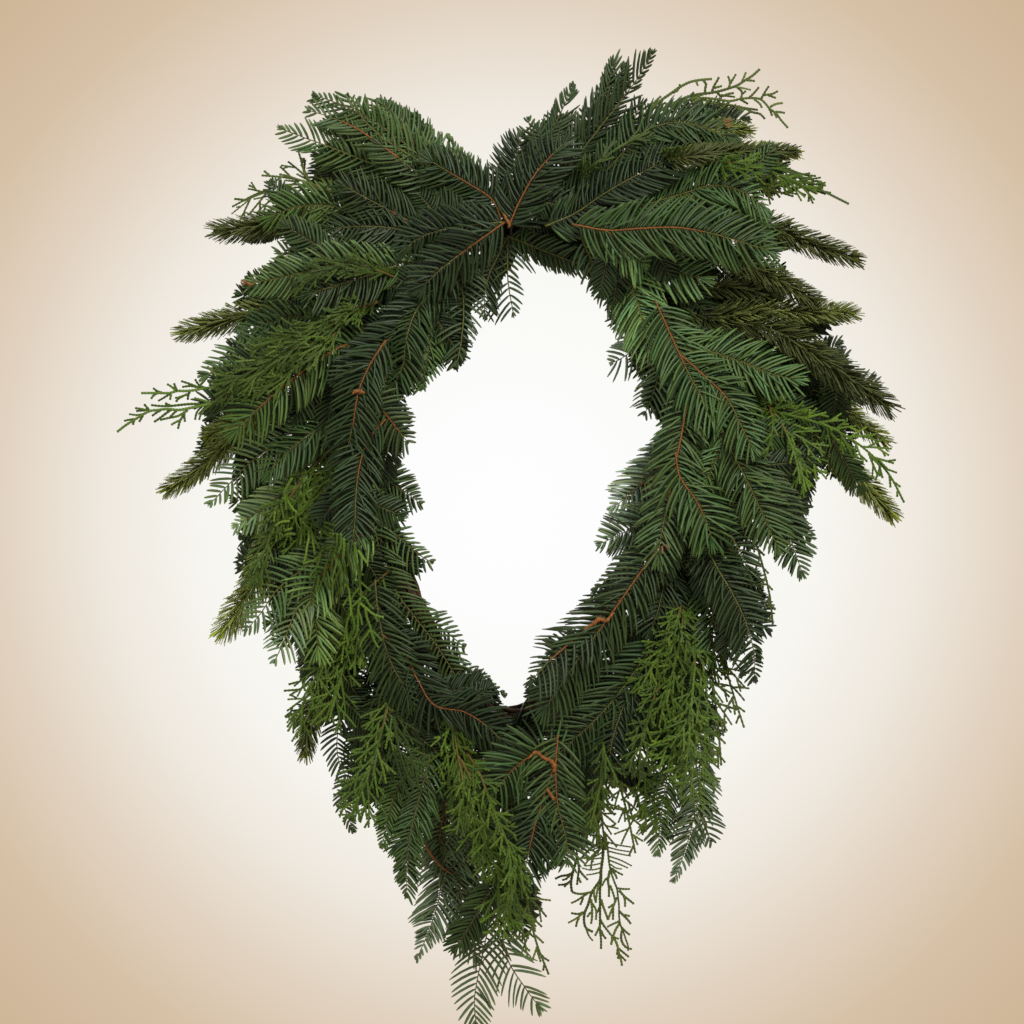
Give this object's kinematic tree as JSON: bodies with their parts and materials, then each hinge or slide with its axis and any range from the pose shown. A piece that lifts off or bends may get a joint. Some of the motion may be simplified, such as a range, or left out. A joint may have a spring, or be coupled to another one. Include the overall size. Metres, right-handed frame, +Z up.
{
  "type": "fresh evergreen wreath",
  "caption": "Teardrop wreath of fresh fir sprays, fir branch tips and cedar on a bound twig ring with a wire hanging eye and an open centre.",
  "frame": {"origin": "inner top of the hanging wire eye at the back of the wreath's top centre, where the nail or hook bears", "axes": "+Z up as the wreath hangs, -Y out of its front towards the viewer, +X to the viewer's right"},
  "size_m": [0.6921, 0.1241, 0.8725],
  "materials": {
    "fir_foliage": "fresh fir needles, waxy satin green over thin orange-brown stems",
    "fir_tip_foliage": "fresh fir branch tips, olive green needles with yellow ends",
    "cedar_foliage": "fresh cedar scale leaves, matte yellow-green",
    "twig_base": "dark brown bark, rough",
    "binding_wire": "dark green lacquered florist wire",
    "hanging_wire": "dull annealed steel wire"
  },
  "bodies": {
    "root": {"twig_base_ring": "twig_base", "binding_wire": "binding_wire", "hanging_wire_eye": "hanging_wire", "cedar_spray_01": "cedar_foliage", "cedar_spray_02": "cedar_foliage", "cedar_spray_03": "cedar_foliage", "cedar_spray_04": "cedar_foliage", "cedar_spray_05": "cedar_foliage", "cedar_spray_06": "cedar_foliage", "cedar_spray_07": "cedar_foliage", "cedar_spray_08": "cedar_foliage", "cedar_spray_09": "cedar_foliage", "cedar_spray_10": "cedar_foliage", "cedar_spray_11": "cedar_foliage", "cedar_spray_12": "cedar_foliage", "fir_spray_01": "fir_foliage", "fir_spray_02": "fir_foliage", "fir_spray_03": "fir_foliage", "fir_spray_04": "fir_foliage", "fir_spray_05": "fir_foliage", "fir_spray_06": "fir_foliage", "fir_spray_07": "fir_foliage", "fir_spray_08": "fir_foliage", "fir_spray_09": "fir_foliage", "fir_spray_10": "fir_foliage", "fir_spray_11": "fir_foliage", "fir_spray_12": "fir_foliage", "fir_spray_13": "fir_foliage", "fir_spray_14": "fir_foliage", "fir_spray_15": "fir_foliage", "fir_spray_16": "fir_foliage", "fir_spray_17": "fir_foliage", "fir_spray_18": "fir_foliage", "fir_spray_19": "fir_foliage", "fir_spray_20": "fir_foliage", "fir_spray_21": "fir_foliage", "fir_spray_22": "fir_foliage", "fir_spray_23": "fir_foliage", "fir_spray_24": "fir_foliage", "fir_spray_25": "fir_foliage", "fir_spray_26": "fir_foliage", "fir_spray_27": "fir_foliage", "fir_spray_28": "fir_foliage", "fir_spray_29": "fir_foliage", "fir_spray_30": "fir_foliage", "fir_spray_31": "fir_foliage", "fir_spray_32": "fir_foliage", "fir_spray_33": "fir_foliage", "fir_spray_34": "fir_foliage", "fir_tip_01": "fir_tip_foliage", "fir_tip_02": "fir_tip_foliage", "fir_tip_03": "fir_tip_foliage", "fir_tip_04": "fir_tip_foliage", "fir_tip_05": "fir_tip_foliage", "fir_tip_06": "fir_tip_foliage", "fir_tip_07": "fir_tip_foliage", "fir_tip_08": "fir_tip_foliage", "fir_tip_09": "fir_tip_foliage"}
  },
  "joints": []
}
